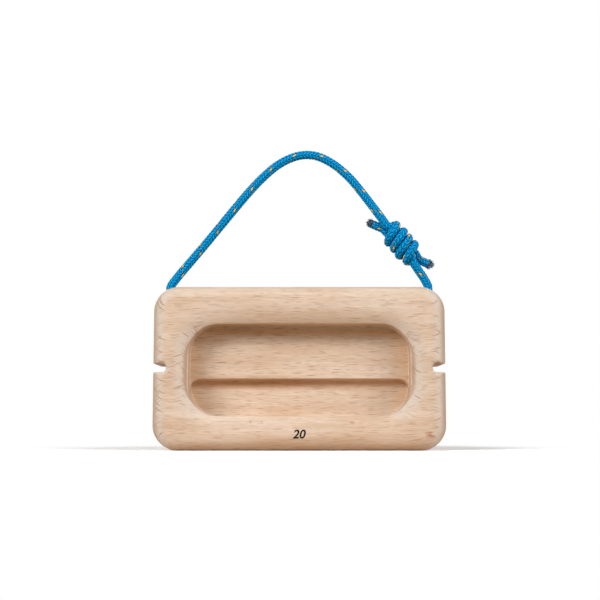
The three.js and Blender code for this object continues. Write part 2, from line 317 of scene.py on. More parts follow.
def knot_route(route, half):
    """The way of one end from its free stretch through the knot to the tip of its tail."""
    last = np.array(route[-1])
    way = last - np.array(route[-2])
    way /= np.linalg.norm(way)
    entry = [last + way * ENTRY_GAP, last + way * (ENTRY_GAP + ENTRY_LONG)]
    wraps = []
    for turns, u, far in WRAP_SHARES:
        turn = turns * 2 * math.pi
        wraps.append(knot_point((u, far * math.sin(turn), far * math.cos(turn)), half))
    return [*entry, *wraps, *(knot_point(share, half) for share in TAIL_SHARES[half])]


mirrored = [(-x, y, z) for x, y, z in HELD_ROUTE]
left_line, right_line = (
    smooth_line([*bore[BORE_POINTS - 1 :: -1], *route, *knot_route(route, half)], RING_STEP)
    for bore, route, half in ((mirrored, ARCH_ROUTE, -1), (HELD_ROUTE, LEG_ROUTE, 1))
)
held_line = smooth_line([*HELD_ROUTE[1:], *mirrored[:0:-1]], RING_STEP)


# Braided sheath


def braid_heights(tree, turn, lay):
    """Nodes for the height of the two families of yarns, where turn is turns round the cord and lay
    is lay lengths along it. A family is on top in every second of the eight columns round the cord.
    Gives each family's height, its place across a yarn from -1 to 1 and its count of yarns, and
    then the swing, which is 1 where the first family is on top and -1 where the other is."""
    phase = add(tree, MATH, {0: turn, 1: math.pi * YARNS_EACH_WAY}, **TIMES)
    wave = add(tree, MATH, {0: phase}, operation="COSINE")
    steep = add(tree, MATH, {0: wave, 1: math.pi / 2}, **TIMES)
    swing = add(tree, MATH, {0: steep}, operation="SINE")
    found = []
    for side in (1, -1):
        slant = add(tree, MATH, {0: turn, 1: side, 2: lay}, **TIMES_PLUS)
        count = add(tree, MATH, {0: slant, 1: YARNS_EACH_WAY}, **TIMES)
        part = add(tree, MATH, {0: count}, operation="FRACT")
        place = add(tree, MATH, {0: part, 1: 2, 2: -1}, **TIMES_PLUS)
        squared = add(tree, MATH, {0: place, 1: place}, **TIMES)
        left = add(tree, MATH, {0: 1.0, 1: squared}, **LESS)
        domed = add(tree, MATH, {0: left}, operation="SQRT")
        thick = add(tree, MATH, {0: domed, 1: YARN_ROUND}, **TIMES)
        height = add(tree, MATH, {0: swing, 1: side * YARN_RISE, 2: thick}, **TIMES_PLUS)
        found.append({"height": height, "place": place, "count": count})
    return (*found, swing)


def start_tree(name, inputs):
    """A geometry tree with the inputs, as (name, kind), and what gives them in the tree."""
    tree = bpy.data.node_groups.new(name, "GeometryNodeTree")
    for label, kind in (("Geometry", "Geometry"), *inputs):
        tree.interface.new_socket(label, in_out="INPUT", socket_type="NodeSocket" + kind)
    tree.interface.new_socket("Geometry", in_out="OUTPUT", socket_type="NodeSocketGeometry")
    return tree, add(tree, "NodeGroupInput", out=None).outputs


def finish_tree(tree, shape, finish):
    """Ends a geometry tree with the shape as plain mesh that wears the finish."""
    whole = add(tree, "GeometryNodeRealizeInstances", {"Geometry": shape})
    dressed = add(tree, "GeometryNodeSetMaterial", {"Geometry": whole, "Material": finish})
    add(tree, "NodeGroupOutput", {"Geometry": dressed}, out=None)
    return tree


def sheath_tree():
    """Geometry nodes: a line of points becomes a tube whose surface rises and falls as a braid."""
    sockets = (("Cord radius", "Float"), ("Sides", "Int"), ("Finish", "Material"))
    tree, given = start_tree("braided_sheath", sockets)
    line = add(tree, "GeometryNodeMeshToCurve", {"Mesh": given["Geometry"]})
    ring = add(
        tree,
        "GeometryNodeCurvePrimitiveCircle",
        {"Resolution": given["Sides"], "Radius": given["Cord radius"]},
    )
    turn = add(tree, "GeometryNodeSplineParameter")
    marked = add(tree, STORE, {"Geometry": ring, "Name": "turn", "Value": turn})
    tube = add(
        tree, "GeometryNodeCurveToMesh", {"Curve": line, "Profile Curve": marked, "Fill Caps": True}
    )
    places = [add(tree, READ, {"Name": name}) for name in ("turn", "turned", "lay")]
    round_cord = add(tree, MATH, {0: places[0], 1: places[1]}, **PLUS)
    yarns = braid_heights(tree, round_cord, places[2])
    top = add(tree, MATH, {0: yarns[0]["height"], 1: yarns[1]["height"]}, operation="MAXIMUM")
    sunk = add(tree, MATH, {0: top, 1: YARN_ROUND + YARN_RISE}, **LESS)
    metres = add(tree, MATH, {0: sunk, 1: MM}, **TIMES)
    shift = add(tree, VECTOR, {0: add(tree, "GeometryNodeInputNormal"), "Scale": metres}, **SCALE)
    raised = add(tree, "GeometryNodeSetPosition", {"Geometry": tube, "Offset": shift})
    angle = add(tree, MATH, {0: round_cord, 1: 2 * math.pi}, **TIMES)
    sides = [add(tree, MATH, {0: angle}, operation=kind) for kind in ("COSINE", "SINE")]
    where = add(tree, "ShaderNodeCombineXYZ", {"X": sides[0], "Y": sides[1], "Z": places[2]})
    named = add(
        tree, STORE, {"Geometry": raised, "Name": "braid", "Value": where}, data_type="FLOAT_VECTOR"
    )
    smooth = add(tree, "GeometryNodeSetShadeSmooth", {"Geometry": named})
    return finish_tree(tree, smooth, given["Finish"])


def run_tree(name, mesh, tree, values):
    """Runs a tree on a mesh and gives the result as a plain mesh, with no modifier left."""
    worker = put_in_scene(name + "_maker", mesh)
    modifier = worker.modifiers.new("maker", "NODES")
    modifier.node_group = tree
    for item in tree.interface.items_tree:
        if item.in_out == "INPUT" and item.name in values:
            modifier[item.identifier] = values[item.name]
    worker.update_tag()
    ready = worker.evaluated_get(bpy.context.evaluated_depsgraph_get())
    result = bpy.data.meshes.new_from_object(ready)
    result.name = name
    worker.modifiers.remove(modifier)
    bpy.data.objects.remove(worker)
    return result


def sheath_mesh(name, line, lay_start, turned, tree, material):
    """The braided sheath along a line. turned is how far the braid is turned at each point."""
    count = len(line)
    mesh = bpy.data.meshes.new(name + "_line")
    mesh.from_pydata(line * MM, [(i, i + 1) for i in range(count - 1)], [])
    turned = np.broadcast_to(turned, count)
    write_marks(mesh, {"lay": way_gone(line) / LAY_LONG + lay_start, "turned": turned})
    values = {"Cord radius": SHEATH_OUTER * MM, "Sides": SHEATH_SIDES, "Finish": material}
    return run_tree(name, mesh, tree, values)


def points_of(mesh):
    """A mesh's points, in millimetres."""
    found = np.empty(len(mesh.vertices) * 3, np.float32)
    mesh.vertices.foreach_get("co", found)
    return found.reshape(-1, 3).astype(float) / MM


# Pressing takes this many rings of the sheath at a time, and looks at every third point of a line
RINGS_AT_ONCE = 40
LOOKED_AT = 3
# Nearer than this along itself a cord isn't pressed, in thicknesses
PRESSED_FROM = 1.4
# Shares of a point's way out from its cord's line: what is left free, and one that presses nothing
PRESSED_GAP = 0.012
UNPRESSED = 9


def press_together(mesh, line, start, others):
    """Presses the knot's cord flat, half way to where it meets itself or the other end."""
    points = points_of(mesh)
    lay = np.empty(len(points), np.float32)
    mesh.attributes["lay"].data.foreach_get("value", lay)
    ring = np.clip(np.rint((lay - lay.min()) * LAY_LONG / RING_STEP), 0, len(line) - 1).astype(int)
    own = np.arange(0, len(line), LOOKED_AT)
    for at in range(start, len(line), RINGS_AT_ONCE):
        rows = np.flatnonzero((ring >= at) & (ring < at + RINGS_AT_ONCE))
        centre = line[ring[rows]]
        out = points[rows] - centre
        along = np.abs(own[None] - ring[rows][:, None]) * RING_STEP
        too_near = along <= PRESSED_FROM * CORD_ACROSS
        most = np.full(len(rows), 1.0)
        for group, left_out in ((line[own], too_near), (others[::LOOKED_AT], False)):
            apart = group[None] - centre[:, None]
            reach = np.einsum("ijk,ik->ij", apart, out)
            share = np.einsum("ijk,ijk->ij", apart, apart) / np.maximum(2 * reach, TINY)
            share[(reach <= 0) | left_out] = UNPRESSED
            most = np.minimum(most, share.min(1) - PRESSED_GAP)
        points[rows] = centre + out * most[:, None]
    mesh.vertices.foreach_set("co", (points * MM).astype(np.float32).ravel())
    mesh.update()


polyamide = bpy.data.materials.new("polyamide_yarn_braided")
sheath = sheath_tree()
# The point of each line from which its cord is pressed
knot_start = {
    side: int(np.argmin(np.linalg.norm(line - np.array(route[-2]), axis=1)))
    for side, line, route in (("left", left_line, ARCH_ROUTE), ("right", right_line, LEG_ROUTE))
}
left_turned = np.interp(np.arange(len(left_line)) * RING_STEP, *zip(*LEFT_TURNED))
meshes = {
    side: sheath_mesh(name, line, LAY_STARTS[side], turned, sheath, polyamide)
    for name, side, line, turned in (
        ("loop_left_half", "left", left_line, left_turned),
        ("loop_right_half", "right", right_line, OTHERS_TURNED),
        ("held_cord", "held", held_line, OTHERS_TURNED),
    )
}
press_together(meshes["left"], left_line, knot_start["left"], right_line[knot_start["right"] :])
press_together(meshes["right"], right_line, knot_start["right"], left_line[knot_start["left"] :])
loop_left = put_in_scene("loop_left_half", meshes["left"])
loop_right = put_in_scene("loop_right_half", meshes["right"])
held_cord = put_in_scene("held_cord", meshes["held"])


# Melted tips: the filaments of a cut end have run together to a dark ragged lump, which closes the
# sheath's end, and some of them stand out of it

# The lump's outline: mm past the cord's end, and mm from the cord's line
TIP_ROWS = [
    (-2.6, 0), (-2.5, 1.4), (-1.7, 2.0), (-0.6, 2.2), (0.4, 2.2), (1.3, 1.9), (2.0, 1.3), (2.4, 0),
]
TIP_RINGS = 30
TIP_SIDES = 40
# Its lumps, coarse and fine: how many to the mm and how deep, and how far they push a point along
# the cord, and out from it as a share of its radius
TIP_LUMPS = [(0.5, 0.34), (1.7, 0.16)]
LUMPS_ALONG = 2.6
LUMPS_OUT = 1.3
# They are full at the cord's end and gone this far inside the sheath
LUMPS_FADE = 2.4
# Filaments stand out from here on, at this density, and lean this much to the cord's way
FRAYED_FROM = 0.3
FILAMENTS_PER_SQUARE_METRE = 5.5e6
FRAYED_LEAN = 1.5
# How far astray they go, how their lengths vary, and how thick they are at the tip and the root, in
# mm. A real filament is 0.03 mm thick: a bundle of some is drawn
FRAYED_ASTRAY = 0.5
FRAYED_LENGTHS = (0.5, 1.5)
FILAMENT_TIP = 0.02
FILAMENT_ROOT = 0.09
# The cord's way at its end is taken over this many points
END_POINTS = 9


def tip_mesh(name, line, seed):
    """The lump at a line's end. Its attribute frayed tells where filaments stand out."""
    end = line[-1]
    way = end - line[-END_POINTS]
    way /= np.linalg.norm(way)
    side = np.cross(way, (0, 1, 0))
    side /= np.linalg.norm(side)
    high = np.cross(way, side)
    rows = np.array(TIP_ROWS, float)
    gone = way_gone(rows)
    even = np.linspace(0, gone[-1], TIP_RINGS)
    along, far = np.interp(even, gone, rows[:, 0]), np.interp(even, gone, rows[:, 1])
    turns = np.arange(TIP_SIDES) / TIP_SIDES * 2 * math.pi
    points, frayed = [], []
    for a, r in zip(along, far):
        for t in turns if r else turns[:1]:
            out = math.cos(t) * side + math.sin(t) * high
            point = end + a * way + r * out
            rough = sum(
                deep * noise.noise(Vector(point * often) + Vector((seed, 0, seed)))
                for often, deep in TIP_LUMPS
            )
            ragged = min(max(1 + a / LUMPS_FADE, 0), 1) * rough
            points.append(point + ragged * (LUMPS_ALONG * way + LUMPS_OUT * r * out))
            frayed.append(a > FRAYED_FROM)
    faces = []
    first, last = 0, len(points) - 1
    for i in range(TIP_SIDES):
        j = (i + 1) % TIP_SIDES
        faces.append((first, 1 + j, 1 + i))
        for ring in range(TIP_RINGS - 3):
            a = 1 + ring * TIP_SIDES
            b = a + TIP_SIDES
            faces.append((a + j, b + j, b + i, a + i))
        a = 1 + (TIP_RINGS - 3) * TIP_SIDES
        faces.append((a + j, last, a + i))
    mesh = bpy.data.meshes.new(name)
    mesh.from_pydata(np.array(points) * MM, [], faces)
    write_marks(mesh, {"frayed": frayed})
    mesh.shade_smooth()
    return mesh, way


def fray_tree():
    """Geometry nodes: filaments stand out of a lump where its attribute frayed is 1."""
    sockets = (
        ("Filaments per square metre", "Float"), ("Cord's way", "Vector"), ("Seed", "Int"),
        ("Finish", "Material"),
    )
    tree, given = start_tree("frayed_filaments", sockets)
    frayed = add(tree, READ, {"Name": "frayed"})
    density = add(tree, MATH, {0: frayed, 1: given["Filaments per square metre"]}, **TIMES)
    spread = add(
        tree,
        "GeometryNodeDistributePointsOnFaces",
        {"Mesh": given["Geometry"], "Density": density, "Seed": given["Seed"]},
        out=None,
    ).outputs
    most, least = (FRAYED_ASTRAY,) * 3, (-FRAYED_ASTRAY,) * 3
    astray = add(
        tree,
        "FunctionNodeRandomValue",
        {"Min": least, "Max": most, "Seed": given["Seed"]},
        data_type="FLOAT_VECTOR",
    )
    lean = add(tree, VECTOR, {0: spread["Normal"], 1: given["Cord's way"]}, **PLUS)
    lean = add(tree, VECTOR, {0: lean, 1: astray}, **PLUS)
    turned = add(tree, "FunctionNodeAlignRotationToVector", {"Vector": lean}, axis="Z")
    low, high = FRAYED_LENGTHS
    longer = add(tree, "FunctionNodeRandomValue", {2: low, 3: high, "Seed": given["Seed"]}, out=1)
    size = add(tree, "ShaderNodeCombineXYZ", {"X": 1.0, "Y": 1.0, "Z": longer})
    # A millimetre long at size 1
    sizes = {"Radius Top": FILAMENT_TIP * MM, "Radius Bottom": FILAMENT_ROOT * MM, "Depth": MM}
    filament = add(tree, "GeometryNodeMeshCone", {"Vertices": 5, **sizes}, out="Mesh")
    filaments = add(
        tree,
        "GeometryNodeInstanceOnPoints",
        {"Points": spread["Points"], "Instance": filament, "Rotation": turned, "Scale": size},
    )
    return finish_tree(tree, filaments, given["Finish"])


melted = bpy.data.materials.new("polyamide_melted")
loose = bpy.data.materials.new("polyamide_filaments_loose")
fray = fray_tree()
tips, frays = {}, {}
for place, line, seed in (("lower", left_line, 3), ("upper", right_line, 8)):
    mesh, way = tip_mesh("melted_tip_" + place, line, seed)
    tips[place] = put_in_scene("melted_tip_" + place, mesh, melted)
    values = {
        "Filaments per square metre": FILAMENTS_PER_SQUARE_METRE,
        "Cord's way": tuple(way * FRAYED_LEAN),
        "Seed": seed,
        "Finish": loose,
    }
    name = "frayed_filaments_" + place
    frays[place] = put_in_scene(name, run_tree(name, mesh.copy(), fray, values))


# Block

# The wood's rays are thin sheets along the grain, in two sets that cross. For each set: its lean;
# how far apart its rays lie along the grain, up the sheet and through it, in mm; what share of
# that a ray fills; how dark it is; its seed; and how much of it shows on the sawn ends, where one
# set leads. A real ray is 0.1 mm through: they are drawn coarser, to show at this distance
RAYS = {
    "leaning_back": (math.radians(50), (10, 20, 0.44), 0.34, 0.62, 3, 0.8),
    "leaning_forward": (math.radians(-50), (6.4, 14, 0.32), 0.36, 0.6, 11, 0.1),
}
# From this share of its size outwards, a ray fades
RAY_FADES = 0.6


def rounded_rectangle(x, z, half_wide, low, high, low_corner, high_corner):
    """Signed distance to an upright rectangle with round corners."""
    middle = (low + high) / 2
    corner = np.where(z > middle, high_corner, low_corner)
    a = np.abs(x) - half_wide + corner
    b = np.abs(z - middle) - (high - low) / 2 + corner
    return np.minimum(np.maximum(a, b), 0) + np.hypot(np.maximum(a, 0), np.maximum(b, 0)) - corner


def mouth_distance(x, z):
    """Signed distance to the pocket's outline."""
    return rounded_rectangle(
        x, z, POCKET_HALF, RIM_BOTTOM, POCKET_TOP, POCKET_CORNER, POCKET_CORNER
    )


def both(a, b, soft):
    """What lies in both shapes, with their common edge rounded."""
    rounded = np.hypot(np.maximum(soft + a, 0), np.maximum(soft + b, 0))
    return np.minimum(-soft, np.maximum(a, b)) + rounded


def either(a, b, soft):
    """What lies in either shape, with the corner between them rounded."""
    return -both(-a, -b, soft)


# A distance that stands for none, and what a slope is measured over
FAR_OFF = 99.0
SLOPE_STEP = 0.02


def way_distance(x, y, z):
    """Distance to the cord's way, which opens to the back where it runs level."""
    level = HELD_ROUTE[-1][1]
    line = smooth_line([WAY_FROM, *HELD_ROUTE, (0, level, HELD_ROUTE[-1][2])], WAY_STEP)
    place = np.stack([np.abs(x), np.minimum(y, level), z], -1)
    least = np.full(x.shape, FAR_OFF)
    for a, b in zip(line, line[1:]):
        run = b - a
        share = np.clip(((place - a) @ run) / (run @ run), 0, 1)
        least = np.minimum(least, np.linalg.norm(place - a - share[..., None] * run, axis=-1))
    return least - WAY_ROUND


def block_distance(x, y, z):
    """Signed distance to the finished block, in millimetres."""
    side = rounded_rectangle(x, z, BOARD_WIDE / 2, 0, BOARD_HIGH, BOARD_CORNER, BOARD_CORNER)
    front = both(both(side - ARC_OVER, -HALF_THICK - y, ARC), side, ARC_EDGE)
    back = both(side, y - HALF_THICK, BACK_ROUND)
    block = np.where(y < 0, front, back)
    recess = rounded_rectangle(
        x, z, POCKET_HALF + RECESS_PAST, 0, LEDGE_UP, RECESS_LOW_CORNER, RECESS_CORNER
    )
    lower = both(recess, y + HALF_THICK - LOWER_DEEP, CUTTER_CORNER)
    wall = either(y + HALF_THICK - UPPER_DEEP, lower, LEDGE_SOFT)
    pocket = both(mouth_distance(x, z), wall, CUTTER_CORNER)
    block = both(block, -pocket - LIP_OVER, LIP_ARC)
    at_end = np.interp(POCKET_HALF - np.abs(x), LIP_END_STARTS, (1, 0))
    at_end *= np.interp(np.abs(z - (RIM_BOTTOM + POCKET_TOP) / 2), LIP_END_FADES, (1, 0))
    block = both(block, -pocket, LIP_EDGE + (LIP_END_EDGE - LIP_EDGE) * at_end)
    end = BOARD_WIDE / 2 - SLOT_DEEP + SLOT_HIGH / 2
    slot = np.hypot(np.maximum(end - np.abs(x), 0), z - SLOT_UP) - SLOT_HIGH / 2
    slot_edge = np.interp(
        np.abs(x), (end, BOARD_WIDE / 2 - SLOT_MOUTH_DEEP), (SLOT_END_SOFT, SLOT_MOUTH_SOFT)
    )
    block = both(block, -slot, slot_edge)
    near_way = (y > WAY_BEHIND) & (z > WAY_ABOVE)
    way = np.full(x.shape, FAR_OFF)
    way[near_way] = way_distance(x[near_way], y[near_way], z[near_way])
    return both(block, -way, WAY_SOFT)


def steps(*runs):
    """Grid places from runs of (from, to, step)."""
    found = [np.linspace(a, b, round((b - a) / s), endpoint=False) for a, b, s in runs]
    return np.concatenate([*found, [runs[-1][1]]])


def surface_of(distance, xs, ys, zs):
    """The closed surface where distance is zero, as points and four-sided faces."""
    field = distance(*np.meshgrid(xs, ys, zs, indexing="ij"))
    inside = field < 0
    shape = inside.shape
    corners = [(i, j, k) for i in (0, 1) for j in (0, 1) for k in (0, 1)]

    def part(grid, offset):
        return grid[tuple(slice(o, n - 1 + o) for o, n in zip(offset, shape))]

    count = sum(part(inside, c).astype(np.int8) for c in corners)
    cells = np.argwhere((count > 0) & (count < 8))
    number = -np.ones(count.shape, int)
    number[tuple(cells.T)] = np.arange(len(cells))
    total = np.zeros((len(cells), 3))
    hits = np.zeros(len(cells))
    axes = (xs, ys, zs)
    for a in corners:
        for axis in range(3):
            if a[axis]:
                continue
            b = tuple(v + (i == axis) for i, v in enumerate(a))
            at_a, at_b = cells + a, cells + b
            da, db = field[tuple(at_a.T)], field[tuple(at_b.T)]
            crossed = (da < 0) != (db < 0)
            share = np.where(crossed, da / np.where(crossed, da - db, 1), 0)
            point = np.stack([axes[i][at_a[:, i]] for i in range(3)], 1)
            point[:, axis] += share * (axes[axis][at_b[:, axis]] - axes[axis][at_a[:, axis]])
            total += point * crossed[:, None]
            hits += crossed
    points = total / hits[:, None]
    faces = []
    for axis in range(3):
        u, v = (axis + 1) % 3, (axis + 2) % 3
        low = [slice(None)] * 3
        high = [slice(None)] * 3
        low[axis], high[axis] = slice(0, -1), slice(1, None)
        change = inside[tuple(low)] != inside[tuple(high)]
        edge = np.argwhere(change)
        started = inside[tuple(edge.T)]
        ring = []
        for du, dv in ((0, 0), (-1, 0), (-1, -1), (0, -1)):
            cell = edge.copy()
            cell[:, u] += du
            cell[:, v] += dv
            ring.append(number[tuple(cell.T)])
        quads = np.stack(ring, 1)
        quads[~started] = quads[~started][:, ::-1]
        faces.append(quads)
    return points, np.concatenate(faces)


def slope_of(distance, points):
    """The way in which distance rises, at each point."""
    found = []
    for axis in range(3):
        ahead, behind = points.copy(), points.copy()
        ahead[:, axis] += SLOPE_STEP
        behind[:, axis] -= SLOPE_STEP
        found.append((distance(*ahead.T) - distance(*behind.T)) / (2 * SLOPE_STEP))
    return np.stack(found, 1)


# The pocket's surfaces lie this near its outline, or within it, and no further back than this
POCKET_NEAR = 0.5
POCKET_BACK = 1
# Between these depths they start to count as deep. Deep ones lose this share of the look of a cut
# across the grain, and all of it where they face the viewer as much as this
DEEP_FROM = (-16, -14.5)
DEEP_CUT_LOST = 0.12
FACING_VIEWER = -0.15
# How far painted shade reaches in the pocket, in mm: in from its ends, down from its roof, where
# the lip casts its shadow, and down from the ledge's edge behind the upper wall. Its ends and ledge
# take this share of what its roof takes
SHADE_BY_END = (0, 11)
SHADE_BY_ROOF = (2.6, 5.2)
SHADE_BY_LEDGE = (-0.6, -0.1, 2, 7)
UPPER_WALL = -4.9
PAINTED_SHADE_SHARE = 0.5


def wood_marks(points, slope):
    """How far each point's surface is cut across the grain, and how much painted shade it takes."""
    x, y, z = points.T
    in_pocket = (mouth_distance(x, z) < POCKET_NEAR) & (y < POCKET_BACK)
    deep = np.where(in_pocket, np.interp(y, DEEP_FROM, (0, 1)), 0)
    across = np.abs(slope[:, 0])
    by_end = PAINTED_SHADE_SHARE * np.interp(POCKET_HALF - np.abs(x), SHADE_BY_END, (1, 0))
    by_roof = np.interp(POCKET_TOP - z, SHADE_BY_ROOF, (1, 0))
    by_ledge = PAINTED_SHADE_SHARE * np.interp(LEDGE_UP - z, SHADE_BY_LEDGE, (0, 1, 1, 0))
    by_ledge *= y > UPPER_WALL
    # Painted shade where the pocket's roof, ends and ledge lie in shadow
    painted_shade = deep * (1 - across**2) * np.maximum.reduce([by_end, by_roof, by_ledge])
    hidden = np.where(slope[:, 1] < FACING_VIEWER, 1, DEEP_CUT_LOST)
    return across * (1 - deep * hidden), painted_shade


# The grid for the block's surface, as runs of (from, to, step), finer where it curves. None of its
# lines is the slots' innermost, where the surface's points would fall together
GRID_X = [(0, 42, 3), (42, 75.5, 0.6)]
GRID_Y = [
    (-20.6, -18.2, 0.6), (-18.2, -15.8, 0.3), (-15.8, -6.5, 0.9), (-6.5, -3.5, 0.3),
    (-3.5, -1.5, 0.5), (-1.5, 1, 0.3), (1, 14, 0.8), (14, 20.6, 0.6),
]
GRID_Z = [
    (-0.6, 17, 0.6), (17, 19, 0.4), (19, 34, 1.0), (34, 39, 0.35), (39, 46, 0.5),
    (46, 64, 1.0), (64, 67, 0.4), (67, 84.6, 0.6),
]
# How many times the surface's points are pulled onto it, and the least squared slope that sets
# how far
PULLS = 3
LEAST_SLOPE = 0.25


def block_mesh():
    """The block's surface, pulled onto its exact place, with what its wood shows at each point."""
    right = steps(*GRID_X)
    xs = np.concatenate([-right[:0:-1], right])
    points, faces = surface_of(block_distance, xs, steps(*GRID_Y), steps(*GRID_Z))
    for _ in range(PULLS):
        slope = slope_of(block_distance, points)
        off = block_distance(*points.T)
        size = np.maximum((slope**2).sum(1), LEAST_SLOPE)
        points -= slope * (off / size)[:, None]
    slope = slope_of(block_distance, points)
    slope /= np.maximum(np.linalg.norm(slope, axis=1), TINY)[:, None]
    mesh = bpy.data.meshes.new("board")
    mesh.from_pydata(points * MM, [], faces.tolist())
    end_cut, painted_shade = wood_marks(points, slope)
    marks = {"end_cut": end_cut, "painted_shade": painted_shade}
    for name, (lean, *_) in RAYS.items():
        marks[name] = np.abs(slope @ (0, -math.sin(lean), math.cos(lean)))
    write_marks(mesh, marks)
    mesh.shade_smooth()
    return mesh


beech = bpy.data.materials.new("beech_sanded")
board = put_in_scene("board_beech", block_mesh(), beech)

# The lower edge's depth in millimetres, burnt into the bottom rim. It stands proud of the wood by a
# hair, goes into it, and is cut in strips, to follow the rim's round
MARK_TEXT = "20"
MARK_LOW = 6.1
MARK_HIGH = 4.6
MARK_SLANT = 0.22
MARK_BOLDER = 0.028
MARK_PROUD = 0.04
MARK_DEEP = 0.15
MARK_STRIP = 0.25
# Any thickness gives the letters their two sides, and points of theirs this close are one
MARK_THICK = 0.05
MARK_JOINED = 1e-5
# Its points step back to the block from this far in front of the middle, so many times
MARK_STARTS = -24.0
MARK_STEPS = 80


def mark_mesh():
    """The number as a thin body that follows the rim's round."""
    letters = bpy.data.curves.new("letters", "FONT")
    letters.body = MARK_TEXT
    letters.shear = MARK_SLANT
    letters.align_x = "CENTER"
    letters.extrude = MARK_THICK
    letters.offset = MARK_BOLDER
    holder = put_in_scene("letters", letters)
    bpy.context.view_layer.update()
    ready = holder.evaluated_get(bpy.context.evaluated_depsgraph_get())
    mesh = bpy.data.meshes.new_from_object(ready)
    bpy.data.objects.remove(holder)
    body = bmesh.new()
    body.from_mesh(mesh)
    bmesh.ops.remove_doubles(body, verts=body.verts, dist=MARK_JOINED)
    flat = np.array([v.co for v in body.verts])
    (left, low, _), (right, high, _) = flat.min(0), flat.max(0)
    scale = MARK_HIGH / (high - low)
    for v in body.verts:
        v.co.x = (v.co.x - (left + right) / 2) * scale
        v.co.y = (v.co.y - low) * scale
    for level in np.arange(MARK_STRIP, MARK_HIGH, MARK_STRIP):
        everything = [*body.verts, *body.edges, *body.faces]
        bmesh.ops.bisect_plane(body, geom=everything, plane_co=(0, level, 0), plane_no=(0, 1, 0))
    flat = np.array([v.co for v in body.verts])
    points = np.stack([flat[:, 0], np.full(len(flat), MARK_STARTS), flat[:, 1] + MARK_LOW], 1)
    for _ in range(MARK_STEPS):
        points[:, 1] += block_distance(*points.T)
    slope = slope_of(block_distance, points)
    slope /= np.linalg.norm(slope, axis=1)[:, None]
    points += slope * np.where(flat[:, 2] > 0, MARK_PROUD, -MARK_DEEP)[:, None]
    for v, point in zip(body.verts, points):
        v.co = point * MM
    bmesh.ops.recalc_face_normals(body, faces=body.faces)
    body.to_mesh(mesh)
    body.free()
    mesh.materials.clear()
    return mesh


burnt = bpy.data.materials.new("beech_burnt")
mark = put_in_scene("depth_mark_20", mark_mesh(), burnt)


# Finishes


def start_material(material, numbers):
    """A material's tree and its main shader with its uniform numbers, linked to its output."""
    tree = empty_tree(material)
    shader = add(tree, "ShaderNodeBsdfPrincipled", numbers, out=None)
    add(tree, "ShaderNodeOutputMaterial", {"Surface": shader.outputs[0]}, out=None)
    return tree, shader


# Beech, sawn and sanded, left raw: pale, close and dull. The grain runs along X. The rays' sheets
# are short dark dashes on the front and slanting hairlines where a round cuts across the grain.
# Rings, broad patches of warmer wood, and fibres with their pores, drawn coarser than real, are
# noise of these sizes in mm along the grain, up the sheet and through it
GRAIN_SIZES = {"rings": (70, 2.6, 30), "patches": (34, 8, 9), "fibres": (9, 0.9, 0.5)}
# The grain drifts by up to this much, in mm, in waves of this length
DRIFT_MM = 1.5
DRIFT_WAVE = 28
# Pin knots: middle across and up, reach across and up, and share of their own red-brown
PIN_KNOTS = [
    ((66.3, 7.8), (3.2, 1.9), 0.95),
    ((26.8, 14.2), (1.6, 1.2), 0.5),
    ((32.6, 11.6), (0.9, 0.7), 0.45),
    ((-24.8, 14.3), (0.9, 0.9), 0.45),
    ((-19.0, 14.6), (1.1, 0.7), 0.35),
]


